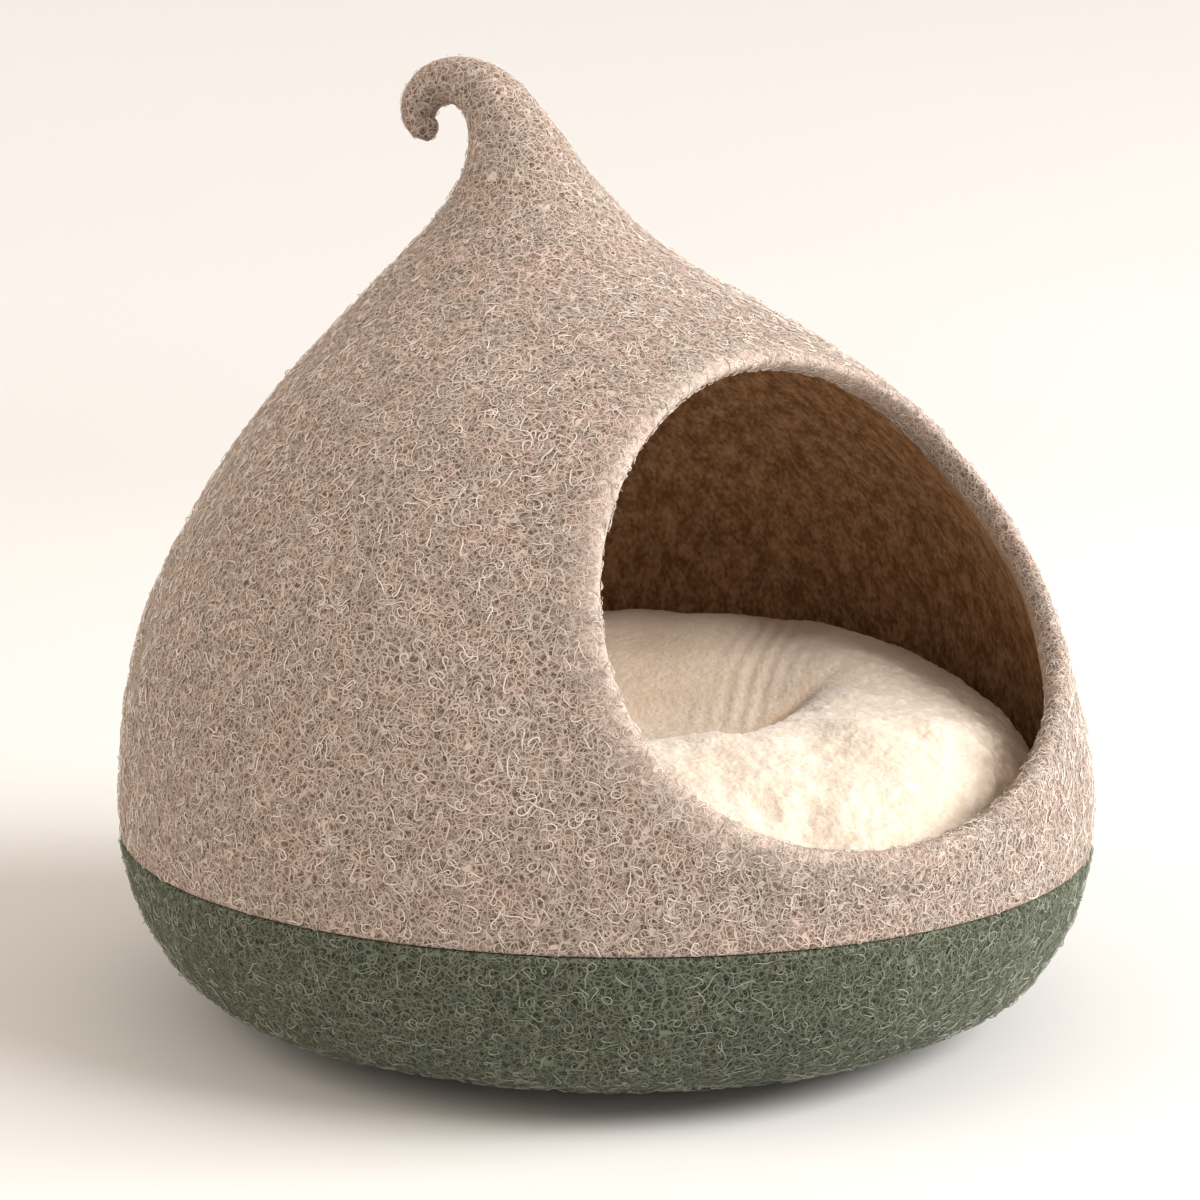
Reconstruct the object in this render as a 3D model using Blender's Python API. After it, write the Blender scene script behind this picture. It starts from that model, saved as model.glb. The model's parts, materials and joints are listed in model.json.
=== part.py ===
"""Felt cat cave: a taupe felt dome with a curled tip, a green felt bowl under it, a cushion inside.

Metres, +Z up. The origin is the middle of the flat foot, and the entrance faces -Y.
"""
import math

import bmesh
import bpy
import numpy as np
from mathutils import Matrix, Vector

# Driving dimensions
WALL = 0.010                       # thickness of the felt
SEAM_HEIGHT = 0.082                # where the taupe felt meets the green felt
SEAM_RADIUS = 0.2218
GAP = 0.0003                       # between two pieces that touch
SIDES = 40                         # facets round every section
LEAN_DIRECTION = math.radians(116)  # the dome leans and curls to the back left, from +X

# Every table of round sections has the same four columns: how far the section's middle has moved
# in the lean direction, its height, its radius, and its tilt in degrees towards the lean.

# The bowl's outer side, from the foot up to the seam
BOWL_SECTIONS = (
    (0, 0.0000, 0.1300, 0),
    (0, 0.0085, 0.1645, 0),
    (0, 0.0220, 0.1945, 0),
    (0, 0.0410, 0.2090, 0),
    (0, 0.0620, 0.2180, 0),
    (0, SEAM_HEIGHT, SEAM_RADIUS, 0),
)

# The dome's outer side, from the seam up through the neck and round the curled tip
DOME_SECTIONS = (
    (0.0000, SEAM_HEIGHT, SEAM_RADIUS, 0),
    (0.0008, 0.1080, 0.2222, 0),
    (0.0022, 0.1400, 0.2180, 0),
    (0.0036, 0.1720, 0.2093, 0),
    (0.0047, 0.2030, 0.1965, 0),
    (0.0062, 0.2320, 0.1800, 0),
    (0.0090, 0.2590, 0.1600, 0),
    (0.0134, 0.2840, 0.1366, 0),
    (0.0207, 0.3060, 0.1104, 0),
    (0.0294, 0.3250, 0.0845, 0),
    (0.0368, 0.3420, 0.0622, 0),
    (0.0428, 0.3575, 0.0446, 4),
    (0.0473, 0.3720, 0.0323, 10),
    (0.0504, 0.3850, 0.0248, 20),
    (0.0548, 0.3960, 0.0194, 31),
    (0.0606, 0.4065, 0.0160, 44),
    (0.0694, 0.4145, 0.0132, 64),
    (0.0805, 0.4178, 0.0112, 90),
    (0.0900, 0.4162, 0.0103, 114),
    (0.0968, 0.4112, 0.0095, 142),
    (0.1000, 0.4038, 0.0085, 172),
    (0.0982, 0.3976, 0.0071, 214),
    (0.0938, 0.3958, 0.0052, 256),
    (0.0912, 0.3968, 0.0022, 270),
)
CAVITY_TOP = 0.365                 # the hollow ends here, and the tip above it is solid felt

# The entrance: an egg-shaped cut along a slanting line that starts on the upright axis
DOOR_AXIS_HEIGHT = 0.1447
DOOR_SLANT = math.radians(22.3)    # the line climbs this much towards the front
DOOR_HALF_WIDTH = 0.1261
DOOR_HALF_HEIGHT = 0.1026
DOOR_ROLL = math.radians(19.6)     # its right end is the higher one
DOOR_EGG = 0.056                   # how much narrower the upper half is
DOOR_SIDES = 56
DOOR_REACH = (0.03, 0.34)          # where the cut starts and ends along its line

# The cushion: from its flat underside, up the drawn-in side, over the crown, into the hollow
CUSHION_SECTIONS = (
    (0, WALL + GAP, 0.1180, 0),
    (0, 0.0175, 0.1540, 0),
    (0, 0.0345, 0.1835, 0),
    (0, 0.0560, 0.2010, 0),
    (0, 0.0850, 0.2080, 0),
    (0, 0.1080, 0.2055, 0),
    (0, 0.1275, 0.1930, 0),
    (0, 0.1420, 0.1670, 0),
    (0, 0.1480, 0.1300, 0),
    (0, 0.1440, 0.0920, 0),
    (0, 0.1310, 0.0560, 0),
    (0, 0.1195, 0.0240, 0),
)


def smooth_sections(sections, steps):
    """A smooth (Catmull-Rom) run through the sections, with steps sections for each one given."""
    given = np.array(sections, dtype=float)
    before = 2 * given[0] - given[1]
    after = 2 * given[-1] - given[-2]
    points = np.vstack([before, given, after])
    run = []
    for index in range(1, len(points) - 2):
        a, b, c, d = points[index - 1:index + 3]
        for step in range(steps):
            t = step / steps
            run.append(b + 0.5 * t * (c - a + t * (2 * a - 5 * b + 4 * c - d + t * (3 * (b - c) + d - a))))
    run.append(given[-1])
    return np.array(run)


def inner_side(run):
    """The same run of sections, moved inwards by the thickness of the felt."""
    along = np.gradient(run[:, 1:3], axis=0)
    along /= np.linalg.norm(along, axis=1)[:, None]
    inner = run.copy()
    inner[:, 1] += WALL * along[:, 1]
    inner[:, 2] -= WALL * along[:, 0]
    return inner


def section_ring(section):
    """The points of one round section, in the order that faces a loft outwards."""
    out, up, radius, tilt = (float(value) for value in section)
    tilt = math.radians(tilt)
    lean = Vector((math.cos(LEAN_DIRECTION), math.sin(LEAN_DIRECTION), 0))
    side = Vector((-lean.y, lean.x, 0))
    level = lean * math.cos(tilt) - Vector((0, 0, 1)) * math.sin(tilt)
    middle = lean * out + Vector((0, 0, up))
    angles = [2 * math.pi * index / SIDES for index in range(SIDES)]
    return [middle + radius * (math.cos(angle) * level + math.sin(angle) * side) for angle in angles]


def loft(name, run, collection):
    """One closed body through a run of sections, with a flat end at each side."""
    mesh = bpy.data.meshes.new(name)
    shape = bmesh.new()
    rings = [[shape.verts.new(point) for point in section_ring(section)] for section in run]
    for lower, upper in zip(rings, rings[1:]):
        for index in range(SIDES):
            after = (index + 1) % SIDES
            shape.faces.new((lower[index], lower[after], upper[after], upper[index]))
    shape.faces.new(reversed(rings[0]))
    shape.faces.new(rings[-1])
    bmesh.ops.recalc_face_normals(shape, faces=shape.faces)
    shape.to_mesh(mesh)
    shape.free()
    mesh.shade_smooth()
    mesh.set_sharp_from_angle(angle=math.radians(35))
    piece = bpy.data.objects.new(name, mesh)
    collection.objects.link(piece)
    return piece


def door_cutter(collection):
    """The egg-shaped bar that opens the entrance."""
    start, end = DOOR_REACH
    bpy.ops.mesh.primitive_cylinder_add(vertices=DOOR_SIDES, radius=1, depth=end - start)
    cutter = bpy.context.object
    cutter.name = "door_cutter"
    for vertex in cutter.data.vertices:
        x, y, z = vertex.co
        vertex.co = (DOOR_HALF_WIDTH * x * (1 - DOOR_EGG * y), DOOR_HALF_HEIGHT * y, z)
    across = Vector((1, 0, 0))
    axis = Vector((0, -math.cos(DOOR_SLANT), math.sin(DOOR_SLANT)))
    rise = Vector((0, math.sin(DOOR_SLANT), math.cos(DOOR_SLANT)))
    turn = Matrix((across, rise, across.cross(rise))).transposed().to_4x4()
    middle = Vector((0, 0, DOOR_AXIS_HEIGHT)) + axis * (start + end) / 2
    cutter.data.transform(Matrix.Translation(middle) @ turn @ Matrix.Rotation(DOOR_ROLL, 4, "Z"))
    for owner in list(cutter.users_collection):
        owner.objects.unlink(cutter)
    collection.objects.link(cutter)
    return cutter


def cut(piece, cutter):
    """Take the cutter's shape out of the piece."""
    modifier = piece.modifiers.new("cut_" + cutter.name, "BOOLEAN")
    modifier.operation = "DIFFERENCE"
    modifier.solver = "EXACT"
    modifier.object = cutter
    cutter.hide_render = True
    cutter.display_type = "WIRE"


def material(name, colour, roughness):
    """A plain matt material."""
    made = bpy.data.materials.new(name)
    made.use_nodes = True
    shader = made.node_tree.nodes["Principled BSDF"]
    shader.inputs["Base Color"].default_value = (*colour, 1)
    shader.inputs["Roughness"].default_value = roughness
    shader.inputs["Metallic"].default_value = 0
    return made


for old in list(bpy.data.objects):
    bpy.data.objects.remove(old, do_unlink=True)

parts = bpy.data.collections.new("felt_cat_cave")
cutters = bpy.data.collections.new("cutters")
bpy.context.scene.collection.children.link(parts)
bpy.context.scene.collection.children.link(cutters)

# Green bowl: its hollow is its own outer side moved in by one wall, carried up past its rim
bowl_run = smooth_sections(BOWL_SECTIONS, 3)
bowl_hollow_run = inner_side(bowl_run)
bowl_hollow_run[0, 1] = WALL
past_rim = bowl_hollow_run[-1] + np.array((0, WALL, 0, 0))
felt_base = loft("felt_base", bowl_run, parts)
bowl_hollow = loft("bowl_hollow", np.vstack([bowl_hollow_run, past_rim]), cutters)
cut(felt_base, bowl_hollow)
felt_base.data.materials.append(material("green_felt", (0.105, 0.125, 0.085), 0.95))

# Taupe dome: one piece of felt from the seam to the curled tip
dome_run = smooth_sections(DOME_SECTIONS, 2)
dome_run[0, 1] += GAP
dome_hollow_run = inner_side(dome_run)
dome_hollow_run = dome_hollow_run[dome_hollow_run[:, 1] < CAVITY_TOP - WALL]
dome_hollow_run = dome_hollow_run[:np.argmax(dome_hollow_run[:, 1]) + 1]
below_rim = dome_hollow_run[0] - np.array((0, WALL, 0, 0))
felt_dome = loft("felt_dome", dome_run, parts)
dome_hollow = loft("dome_hollow", np.vstack([below_rim, dome_hollow_run]), cutters)
cut(felt_dome, dome_hollow)
cut(felt_dome, door_cutter(cutters))
felt_dome.data.materials.append(material("taupe_felt", (0.40, 0.31, 0.25), 0.95))

# Cushion: a round filled pad with a hollow pressed into its crown
cushion = loft("cushion", smooth_sections(CUSHION_SECTIONS, 2), parts)
cushion.data.materials.append(material("cream_pile", (0.86, 0.77, 0.66), 0.9))
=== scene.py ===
"""The looks of a felt cat cave: thick taupe and green wool felt with curly fibres, and a fleece cushion."""
import json
import math

import bmesh
import bpy
import numpy as np
from mathutils import Matrix, Vector, noise

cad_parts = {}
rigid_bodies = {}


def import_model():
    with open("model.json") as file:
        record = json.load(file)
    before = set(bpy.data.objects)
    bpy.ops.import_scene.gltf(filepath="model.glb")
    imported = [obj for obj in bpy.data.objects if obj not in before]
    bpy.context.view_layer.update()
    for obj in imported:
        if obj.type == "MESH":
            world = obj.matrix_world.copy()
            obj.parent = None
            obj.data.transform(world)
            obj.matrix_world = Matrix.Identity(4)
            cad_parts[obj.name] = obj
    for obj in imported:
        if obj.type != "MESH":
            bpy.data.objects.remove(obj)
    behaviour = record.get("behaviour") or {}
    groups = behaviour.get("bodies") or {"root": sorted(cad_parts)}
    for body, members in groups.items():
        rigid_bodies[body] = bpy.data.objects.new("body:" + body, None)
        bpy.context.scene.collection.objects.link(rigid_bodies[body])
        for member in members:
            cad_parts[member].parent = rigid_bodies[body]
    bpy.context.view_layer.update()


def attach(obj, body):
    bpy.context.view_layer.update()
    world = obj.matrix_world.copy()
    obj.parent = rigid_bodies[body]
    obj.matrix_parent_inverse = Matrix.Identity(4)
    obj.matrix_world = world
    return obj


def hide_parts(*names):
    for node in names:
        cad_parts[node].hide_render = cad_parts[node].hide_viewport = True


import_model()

# Camera ------------------------------------------------------------------------------------
# A short telephoto, a little above the cave and to the left of its entrance. It looks slightly
# down at the cave's middle.
CAMERA_AZIMUTH = math.radians(-39)
CAMERA_YAW = math.radians(0.187)
CAMERA_PITCH = math.radians(9.64)
CAMERA_ROLL = math.radians(0.74)
CAMERA_DISTANCE = 1.2765
CAMERA_HEIGHT = 0.4016

camera_data = bpy.data.cameras.new("camera")
camera_data.lens = 85
camera_data.sensor_width = 36
camera_data.clip_start = 0.05
camera_data.clip_end = 50
camera = bpy.data.objects.new("camera", camera_data)
bpy.context.scene.collection.objects.link(camera)
camera.matrix_world = (
    Matrix.Rotation(CAMERA_AZIMUTH, 4, "Z")
    @ Matrix.Translation((0, -CAMERA_DISTANCE, CAMERA_HEIGHT))
    @ Matrix.Rotation(CAMERA_YAW, 4, "Z")
    @ Matrix.Rotation(math.radians(90) - CAMERA_PITCH, 4, "X")
    @ Matrix.Rotation(CAMERA_ROLL, 4, "Z")
)
bpy.context.scene.camera = camera

# Studio ------------------------------------------------------------------------------------
# A pale paper sweep all round. Two large lights stand to the right and a weaker warm one to the
# left, and a soft warm glow comes from everywhere.
# The radius and height of each ring of the sweep
BACKDROP_PROFILE = (
    (0.6, 0.0), (1.2, 0.0), (2.0, 0.0), (2.8, 0.04), (3.6, 0.18), (4.4, 0.46), (5.2, 0.9),
)
BACKDROP_SIDES = 96
# The paper's colour by distance from the cave, which evens out the light on it
PAPER_COLOURS = ((0.45, (0.66, 0.65, 0.64)), (1.6, (0.69, 0.685, 0.68)), (3.4, (0.76, 0.76, 0.765)))
# The name, azimuth and elevation in degrees, distance, width, power and colour of each light
LIGHTS = (
    ("key", 63, 35, 4.6, 2.4, 180, (1.0, 1.0, 0.995)),
    ("side", 91, 24, 4.6, 2.0, 165, (1.0, 1.0, 0.995)),
    ("left_fill", -65, 35, 4.6, 3.2, 70, (1.0, 0.885, 0.77)),
)
LIGHTS_AIM = Vector((0, 0, 0.18))
GLOW_COLOUR = (1.0, 0.905, 0.805)
GLOW_STRENGTH = 0.84


def add_node(tree, kind, values=None, **settings):
    """A new node with its settings. A value for a socket is a number or another node's socket."""
    node = tree.nodes.new(kind)
    for name, value in settings.items():
        setattr(node, name, value)
    for socket, value in (values or {}).items():
        if isinstance(value, bpy.types.NodeSocket):
            tree.links.new(value, node.inputs[socket])
        else:
            node.inputs[socket].default_value = value
    return node


def new_material(name, roughness, specular=0.15, sheen=0.0):
    """A material with its node tree and its Principled BSDF."""
    made = bpy.data.materials.new(name)
    made.use_nodes = True
    shader = made.node_tree.nodes["Principled BSDF"]
    shader.inputs["Roughness"].default_value = roughness
    shader.inputs["Specular IOR Level"].default_value = specular
    shader.inputs["Sheen Weight"].default_value = sheen
    shader.inputs["Sheen Roughness"].default_value = 0.5
    return made, made.node_tree, shader


def mixed(tree, share, one, two, blend_type="MIX"):
    """A mix of two colours by a share. Each is a colour or another node's socket."""
    one, two = (c if isinstance(c, bpy.types.NodeSocket) else (*c, 1) for c in (one, two))
    return add_node(tree, "ShaderNodeMix", {0: share, 6: one, 7: two},
                    data_type="RGBA", blend_type=blend_type).outputs[2]


def ranged(tree, value, low, high, interpolation_type="LINEAR", top=1.0):
    """A value stretched so that low gives 0 and high gives top, and held between the two."""
    return add_node(tree, "ShaderNodeMapRange", {
        "Value": value, "From Min": low, "From Max": high, "To Max": top},
        interpolation_type=interpolation_type).outputs["Result"]


paper, paper_tree, paper_shader = new_material("backdrop_paper", 0.9, 0.05)
away = add_node(paper_tree, "ShaderNodeVectorMath", {
    0: add_node(paper_tree, "ShaderNodeTexCoord").outputs["Object"]}, operation="LENGTH").outputs["Value"]
tone = PAPER_COLOURS[0][1]
for (near, _), (far, colour) in zip(PAPER_COLOURS, PAPER_COLOURS[1:]):
    tone = mixed(paper_tree, ranged(paper_tree, away, near, far, "SMOOTHSTEP"), tone, colour)
paper_tree.links.new(tone, paper_shader.inputs["Base Color"])
backdrop_mesh = bpy.data.meshes.new("backdrop")
shape = bmesh.new()
rings = [[shape.verts.new((radius * math.cos(2 * math.pi * k / BACKDROP_SIDES),
                           radius * math.sin(2 * math.pi * k / BACKDROP_SIDES), up))
          for k in range(BACKDROP_SIDES)] for radius, up in BACKDROP_PROFILE]
shape.faces.new(rings[0])
for lower, upper in zip(rings, rings[1:]):
    for k in range(BACKDROP_SIDES):
        shape.faces.new((lower[k], upper[k], upper[k - 1], lower[k - 1]))
bmesh.ops.recalc_face_normals(shape, faces=shape.faces)
if shape.faces[0].normal.z < 0:
    bmesh.ops.reverse_faces(shape, faces=shape.faces)
shape.to_mesh(backdrop_mesh)
shape.free()
backdrop_mesh.shade_smooth()
backdrop_mesh.materials.append(paper)
backdrop = bpy.data.objects.new("backdrop", backdrop_mesh)
bpy.context.scene.collection.objects.link(backdrop)


def area_light(name, azimuth, elevation, distance, size, power, colour):
    """A round soft light aimed at the middle of the cave. Azimuth 0 is the camera's side, and a
    larger one is further to the right."""
    data = bpy.data.lights.new(name, "AREA")
    data.shape = "DISK"
    data.size = size
    data.energy = power
    data.color = colour
    light = bpy.data.objects.new(name, data)
    bpy.context.scene.collection.objects.link(light)
    turn = math.radians(azimuth) + CAMERA_AZIMUTH
    rise = math.radians(elevation)
    away = Vector((math.sin(turn) * math.cos(rise), -math.cos(turn) * math.cos(rise), math.sin(rise)))
    light.location = LIGHTS_AIM + away * distance
    light.rotation_mode = "QUATERNION"
    light.rotation_quaternion = away.to_track_quat("Z", "Y")
    light.visible_camera = False


for light_values in LIGHTS:
    area_light(*light_values)
world = bpy.data.worlds.new("studio")
world.use_nodes = True
world.node_tree.nodes["Background"].inputs["Color"].default_value = (*GLOW_COLOUR, 1)
world.node_tree.nodes["Background"].inputs["Strength"].default_value = GLOW_STRENGTH
bpy.context.scene.world = world
bpy.context.scene.view_settings.view_transform = "Standard"

# Felt dome ---------------------------------------------------------------------------------
# The taupe body is one seamless piece of 10 mm wool felt, made wet over a form and pulled out
# into a solid curled tip. The entrance is cut in its side, and felting rounds the cut edge.
WALL = 0.010
GAP = 0.0003                       # between the two felts, deep in the crevice
SEAM_HEIGHT = 0.082
LEAN_DIRECTION = math.radians(116)
# Each section: how far its middle has moved in the lean direction, its height, its radius, and
# its tilt in degrees
DOME_SECTIONS = (
    (0.0000, 0.0820, 0.2218, 0), (0.0008, 0.1080, 0.2222, 0), (0.0022, 0.1400, 0.2180, 0),
    (0.0036, 0.1720, 0.2093, 0), (0.0047, 0.2030, 0.1965, 0), (0.0062, 0.2320, 0.1800, 0),
    (0.0090, 0.2590, 0.1600, 0), (0.0134, 0.2840, 0.1366, 0), (0.0207, 0.3060, 0.1104, 0),
    (0.0294, 0.3250, 0.0845, 0), (0.0368, 0.3420, 0.0622, 0), (0.0428, 0.3575, 0.0446, 4),
    (0.0473, 0.3720, 0.0323, 10), (0.0504, 0.3850, 0.0248, 20), (0.0548, 0.3960, 0.0194, 31),
    (0.0606, 0.4065, 0.0160, 44), (0.0694, 0.4145, 0.0132, 64), (0.0805, 0.4178, 0.0112, 90),
    (0.0900, 0.4162, 0.0103, 114), (0.0968, 0.4112, 0.0095, 142), (0.1000, 0.4038, 0.0085, 172),
    (0.0982, 0.3976, 0.0071, 214), (0.0938, 0.3960, 0.0060, 256), (0.0910, 0.3970, 0.0036, 270),
)
DOME_SIDES = 288
DOME_RING_STEP = 0.0038            # between two rings of the outer side
INNER_SIDES = 160
INNER_RING_STEP = 0.0065
CAVITY_TOP = 0.355
DOOR_AXIS_HEIGHT = 0.1447
DOOR_SLANT = math.radians(22.3)
DOOR_HALF_WIDTH = 0.1261
DOOR_HALF_HEIGHT = 0.1026
DOOR_ROLL = math.radians(19.6)
DOOR_EGG = 0.056
LIP_OUTER = 0.0085                 # how far the rounding of the lip reaches back on each side
LIP_INNER = 0.0060
LIP_STEPS = 12
LIP_FULLNESS = 1.33                # how far the rounding keeps to each side before it turns
LIP_RAISE = 0.0035                 # the felt is a little thicker round the entrance
LIP_WIDTH = 0.018
CREVICE = 0.0009                   # how far both felts turn in where they meet
# The dome's lowest rings: the share of the crevice they turn in by, and how far up they lie
DOME_EDGE = ((1.0, 0.0), (0.5, 0.0004), (0.1, 0.0012), (0.0, 0.0024))
# The size, height and seed of the waves in each side of the felt, which is never quite even
OUTER_WAVES = ((0.070, 0.0018, 3.1), (0.024, 0.0008, 8.7))
INNER_WAVES = ((0.045, 0.0016, 5.5),)
WAVES_FADING = 0.02                # height over which the waves die away towards an edge
INNER_EVEN_BELOW = 0.09
TIP_HEIGHT = 0.40                  # the waves weaken below this height, over TIP_FADING
TIP_FADING = 0.05
TIP_WAVES = 0.2                    # share of the waves that is left on the tip
FIBRE_ROOM = 0.0006                # the felt is this much smaller, since fibres stand out from it
POLE_STEP = 0.0014                 # how far the middle of the tip's end stands out

door_middle = Vector((0, 0, DOOR_AXIS_HEIGHT))
door_axis = Vector((0, -math.cos(DOOR_SLANT), math.sin(DOOR_SLANT)))
door_upright = Vector((0, math.sin(DOOR_SLANT), math.cos(DOOR_SLANT)))
door_across = Vector((1, 0, 0)) * math.cos(DOOR_ROLL) + door_upright * math.sin(DOOR_ROLL)
door_rise = door_upright * math.cos(DOOR_ROLL) - Vector((1, 0, 0)) * math.sin(DOOR_ROLL)


def even_run(sections, spacing):
    """A smooth run through the sections, with its own sections evenly spaced."""
    given = np.array(sections, dtype=float)
    points = np.vstack([2 * given[0] - given[1], given, 2 * given[-1] - given[-2]])
    run = []
    for index in range(1, len(points) - 2):
        a, b, c, d = points[index - 1:index + 3]
        for t in np.arange(12) / 12:
            run.append(b + 0.5 * t * (c - a + t * (2 * a - 5 * b + 4 * c - d + t * (3 * (b - c) + d - a))))
    run = np.array(run + [given[-1]])
    along = np.concatenate([[0], np.cumsum(np.linalg.norm(np.diff(run[:, :3], axis=0), axis=1))])
    places = np.linspace(0, along[-1], int(along[-1] / spacing))
    return np.column_stack([np.interp(places, along, run[:, column]) for column in range(4)])


def inner_side(run):
    """The same run of sections, moved inwards by the thickness of the felt."""
    along = np.gradient(run[:, 1:3], axis=0)
    along /= np.linalg.norm(along, axis=1)[:, None]
    inner = run.copy()
    inner[:, 1] += WALL * along[:, 1]
    inner[:, 2] -= WALL * along[:, 0]
    return inner


def section_points(run, sides):
    """The points of every section of a run, ring after ring, and the directions they face."""
    angles = 2 * np.pi * np.arange(sides) / sides
    lean = np.array((math.cos(LEAN_DIRECTION), math.sin(LEAN_DIRECTION), 0))
    side = np.array((-lean[1], lean[0], 0))
    up = np.array((0, 0, 1.0))
    tilt = np.radians(run[:, 3])[:, None]
    level = lean * np.cos(tilt) - up * np.sin(tilt)
    middle = run[:, :1] * lean + run[:, 1:2] * up
    spokes = np.cos(angles)[None, :, None] * level[:, None] + np.sin(angles)[None, :, None] * side
    points = middle[:, None] + run[:, 2][:, None, None] * spokes
    climb = np.gradient(points, axis=0)
    sweep = np.roll(points, -1, axis=1) - np.roll(points, 1, axis=1)
    facing = np.cross(sweep, climb)
    facing /= np.linalg.norm(facing, axis=2)[:, :, None]
    return points.reshape(-1, 3), facing.reshape(-1, 3)


def ring_faces(rows, sides, flip=False):
    """The four-sided faces between rings of points."""
    j, k = np.meshgrid(np.arange(rows - 1), np.arange(sides), indexing="ij")
    after = (k + 1) % sides
    quads = np.stack([j * sides + k, j * sides + after, (j + 1) * sides + after, (j + 1) * sides + k], -1)
    quads = quads.reshape(-1, 4)
    return quads[:, ::-1] if flip else quads


def unevenness(points, waves):
    """The gentle unevenness of hand-made felt, as a height for each point."""
    height_there = np.zeros(len(points))
    for size, height, seed in waves:
        shift = Vector((seed, 2.3 * seed, -seed))
        height_there += np.array([noise.noise(Vector(p) / size + shift) for p in points]) * height
    return height_there


def door_place(points):
    """Where points lie in the entrance: across, up and ahead."""
    away = np.asarray(points) - np.array(door_middle)
    return away @ np.array(door_across), away @ np.array(door_rise), away @ np.array(door_axis)


def door_distance(points, wider):
    """About how far points lie outside the entrance, once that is widened by so much."""
    x, y, ahead = door_place(points)
    x = x / (DOOR_HALF_WIDTH + wider)
    y = y / (DOOR_HALF_HEIGHT + wider)
    size = np.hypot(x / (1 - DOOR_EGG * np.clip(y, -1.5, 1.5)), y) - 1
    return np.where(ahead > 0.03, size * (DOOR_HALF_HEIGHT + wider), 1.0)


def cut_door(points, faces, wider, first):
    """Cuts the widened entrance out of a surface whose points are numbered from first.
    Returns the points, the faces that are left, and the numbers of the points on the cut."""
    value = door_distance(points, wider)
    points = [tuple(p) for p in points]
    kept, crossings = [], {}
    for face in faces:
        outside = value[face] > 0
        if outside.all():
            kept.append([first + int(v) for v in face])
        elif outside.any():
            corners = []
            for a, b in zip(face, np.roll(face, -1)):
                a, b = int(a), int(b)
                if value[a] > 0:
                    corners.append(first + a)
                if (value[a] > 0) != (value[b] > 0):
                    key = (min(a, b), max(a, b))
                    if key not in crossings:
                        share = value[key[0]] / (value[key[0]] - value[key[1]])
                        low, high = points[key[0]], points[key[1]]
                        crossings[key] = first + len(points)
                        points.append(tuple(l + share * (h - l) for l, h in zip(low, high)))
                    corners.append(crossings[key])
            kept.append(corners)
    return points, kept, list(crossings.values())


def zip_loops(lower, lower_at, upper, upper_at):
    """Triangles between two closed loops that run the same way round, by the angle of each point."""
    faces, i, j = [], 0, 0
    while i < len(lower) or j < len(upper):
        next_lower = lower_at[i + 1] if i + 1 < len(lower) else lower_at[0] + 2 * math.pi
        next_upper = upper_at[j + 1] if j + 1 < len(upper) else upper_at[0] + 2 * math.pi
        a, b = lower[i % len(lower)], upper[j % len(upper)]
        if j >= len(upper) or (i < len(lower) and next_lower <= next_upper):
            i += 1
            faces.append((a, lower[i % len(lower)], b))
        else:
            j += 1
            faces.append((a, upper[j % len(upper)], b))
    return faces


def mesh_piece(name, points, faces, marks=None):
    """A smooth object from points and faces, facing out, with a named number at each point
    for each of the marks."""
    mesh = bpy.data.meshes.new(name)
    mesh.from_pydata([tuple(p) for p in points], [], [tuple(int(v) for v in f) for f in faces])
    for label, values in (marks or {}).items():
        mesh.attributes.new(label, "FLOAT", "POINT").data.foreach_set("value", np.asarray(values, float))
    shape = bmesh.new()
    shape.from_mesh(mesh)
    bmesh.ops.delete(shape, geom=[v for v in shape.verts if not v.link_faces], context="VERTS")
    bmesh.ops.dissolve_degenerate(shape, edges=shape.edges, dist=1e-6)
    bmesh.ops.recalc_face_normals(shape, faces=shape.faces)
    shape.to_mesh(mesh)
    shape.free()
    mesh.shade_smooth()
    piece = bpy.data.objects.new(name, mesh)
    bpy.context.scene.collection.objects.link(piece)
    return piece


# Outer side, a little uneven, thicker round the entrance and turned in at the seam
outer_run = even_run(DOME_SECTIONS, DOME_RING_STEP)
outer_run[0, 1] = SEAM_HEIGHT + GAP
outer_run = np.vstack([outer_run[:1]] * (len(DOME_EDGE) - 1) + [outer_run])
for row, (share, lift) in enumerate(DOME_EDGE):
    outer_run[row, 1] += lift
    outer_run[row, 2] -= share * CREVICE
outer_points, outer_facing = section_points(outer_run, DOME_SIDES)
heights = outer_points[:, 2]
rise = unevenness(outer_points, OUTER_WAVES) - FIBRE_ROOM
rise *= (np.clip((heights - SEAM_HEIGHT) / WAVES_FADING, 0, 1)
         * np.clip((TIP_HEIGHT - heights) / TIP_FADING, TIP_WAVES, 1))
rise += LIP_RAISE * np.exp(-np.square(door_distance(outer_points, 0) / LIP_WIDTH))
outer_points = outer_points + outer_facing * rise[:, None]
dome_rows = len(outer_run)
dome_points, dome_faces, outer_cut = cut_door(
    outer_points, ring_faces(dome_rows, DOME_SIDES), LIP_OUTER, 0)
tip_ring = [(dome_rows - 1) * DOME_SIDES + k for k in range(DOME_SIDES)]
tip_end = np.mean([dome_points[v] for v in tip_ring], axis=0)
tip_ahead = tip_end - np.mean([dome_points[v - DOME_SIDES] for v in tip_ring], axis=0)
tip_pole = len(dome_points)
dome_points.append(tuple(tip_end + POLE_STEP * tip_ahead / np.linalg.norm(tip_ahead)))
dome_faces += [(tip_ring[k], tip_ring[(k + 1) % DOME_SIDES], tip_pole) for k in range(DOME_SIDES)]

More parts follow.
